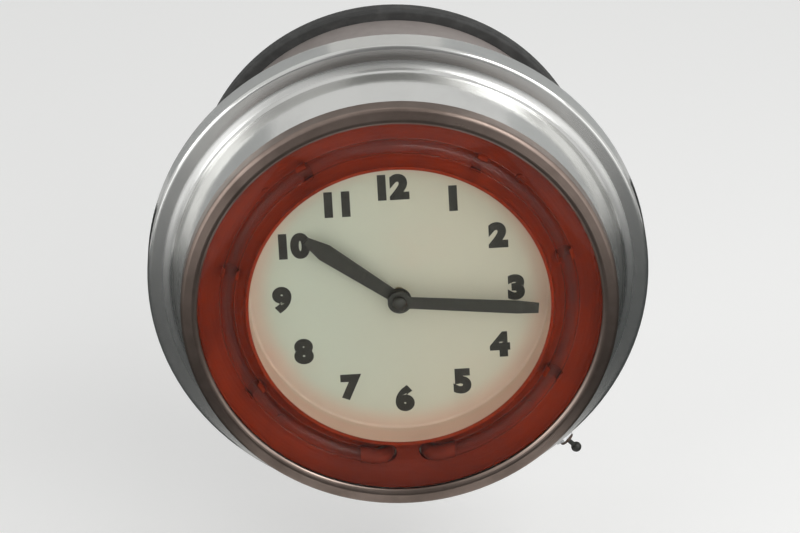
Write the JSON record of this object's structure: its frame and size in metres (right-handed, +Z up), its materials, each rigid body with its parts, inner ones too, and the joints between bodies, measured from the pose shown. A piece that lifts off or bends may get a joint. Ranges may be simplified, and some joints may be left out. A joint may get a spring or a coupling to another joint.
{
  "type": "neon wall clock",
  "caption": "Round wall clock with a cream dial in a red neon channel, a flared spun metal case, a deep rear can, hands driven by a synchronous movement, and a toggle switch.",
  "frame": {"origin": "centre of the rear can's back face, on the wall, in the middle of the four wall holes", "axes": "+Z up, +Y into the wall, -Y out of the dial towards the viewer, +X to the viewer's right"},
  "size_m": [0.381, 0.2262, 0.381],
  "materials": {
    "case_metal": "polished spun aluminium",
    "bezel_metal": "browned polished metal",
    "can_paint": "pinkish grey enamel, semi-gloss",
    "plated_steel": "zinc plated",
    "brass": "machined",
    "bright_steel": "ground",
    "clear_glass": "clear float glass",
    "tube_glass": "clear blown glass",
    "electrode_metal": "nickel",
    "channel_red": "brown-red gloss enamel",
    "dial_cream": "cream matt enamel",
    "hand_black": "matt black enamel",
    "black_rubber": "moulded",
    "porcelain": "glazed white",
    "bakelite": "dark brown moulded",
    "transformer_paint": "dark grey enamel",
    "laminations": "stacked iron sheet",
    "winding": "varnished winding",
    "motor_metal": "coppered steel can",
    "lead_black": "insulated lead",
    "lead_red": "high-voltage lead",
    "toggle_metal": "dark plated"
  },
  "bodies": {
    "case": {"bezel_ring": "bezel_metal", "bezel_screws": "bezel_metal", "front_glass": "clear_glass", "glass_gasket": "black_rubber", "case_shell": "case_metal", "case_back": "plated_steel", "case_back_screws": "plated_steel", "rear_can": "can_paint", "wall_ring": "black_rubber", "can_screws": "plated_steel", "shaft_bush": "brass", "inlet_grommet": "black_rubber", "neon_channel": "channel_red", "channel_brackets": "plated_steel", "channel_screws": "channel_red", "neon_tube": "tube_glass", "tube_electrodes": "electrode_metal", "tube_clips": "channel_red", "tube_grommets": "channel_red", "electrode_housings": "porcelain", "electrode_bracket": "plated_steel", "hv_leads": "lead_red", "transformer_case": "transformer_paint", "transformer_core": "laminations", "transformer_coils": "winding", "hv_bushings": "porcelain", "transformer_screws": "plated_steel", "dial_pan": "dial_cream", "dial_posts": "brass", "movement_screws": "plated_steel", "front_plate": "brass", "back_plate": "brass", "plate_pillars": "brass", "wheel_stud": "bright_steel", "motor_gearcase": "motor_metal", "motor_stator": "laminations", "motor_coil": "winding", "motor_posts": "brass", "terminal_block": "bakelite", "terminal_screws": "brass", "primary_leads": "lead_black", "switch_leads": "lead_black", "motor_leads": "lead_black", "switch_body": "bakelite", "switch_nut": "bright_steel", "switch_pin": "bright_steel"},
    "minute": {"minute_arbor": "bright_steel", "centre_wheel": "brass", "cannon_pinion": "brass", "minute_hand": "hand_black", "hand_nut": "hand_black", "shaft_coupling": "brass", "set_shaft": "bright_steel", "set_knob": "bakelite"},
    "hour": {"hour_wheel": "brass", "hour_hand": "hand_black"},
    "motion": {"minute_wheel": "brass"},
    "second": {"second_wheel": "brass"},
    "motor": {"motor_pinion": "bright_steel"},
    "toggle": {"switch_lever": "toggle_metal"}
  },
  "joints": [
    {"name": "minute_turn", "type": "hinge", "parent": "case", "child": "minute", "pos_m": [0, -0.2, 0], "axis": [0, 1, 0], "continuous": true},
    {"name": "hour_turn", "type": "hinge", "parent": "case", "child": "hour", "pos_m": [0, -0.2, 0], "axis": [0, 1, 0], "continuous": true},
    {"name": "motion_turn", "type": "hinge", "parent": "case", "child": "motion", "pos_m": [0.01358, -0.19, 0.01358], "axis": [0, 1, 0], "continuous": true},
    {"name": "second_turn", "type": "hinge", "parent": "case", "child": "second", "pos_m": [0, -0.17, -0.0315], "axis": [0, 1, 0], "continuous": true},
    {"name": "motor_turn", "type": "hinge", "parent": "case", "child": "motor", "pos_m": [0, -0.165, -0.06125], "axis": [0, 1, 0], "continuous": true},
    {"name": "toggle_swing", "type": "hinge", "parent": "case", "child": "toggle", "pos_m": [0.12083, -0.156, -0.14921], "axis": [-0.7771, 0, -0.6293], "range_deg": [0, 24]}
  ],
  "couplings": [
    {"joint": "hour_turn", "follows": "minute_turn", "ratio": 0.083333},
    {"joint": "motion_turn", "follows": "minute_turn", "ratio": -0.33333},
    {"joint": "second_turn", "follows": "minute_turn", "ratio": -8},
    {"joint": "motor_turn", "follows": "minute_turn", "ratio": 60}
  ]
}
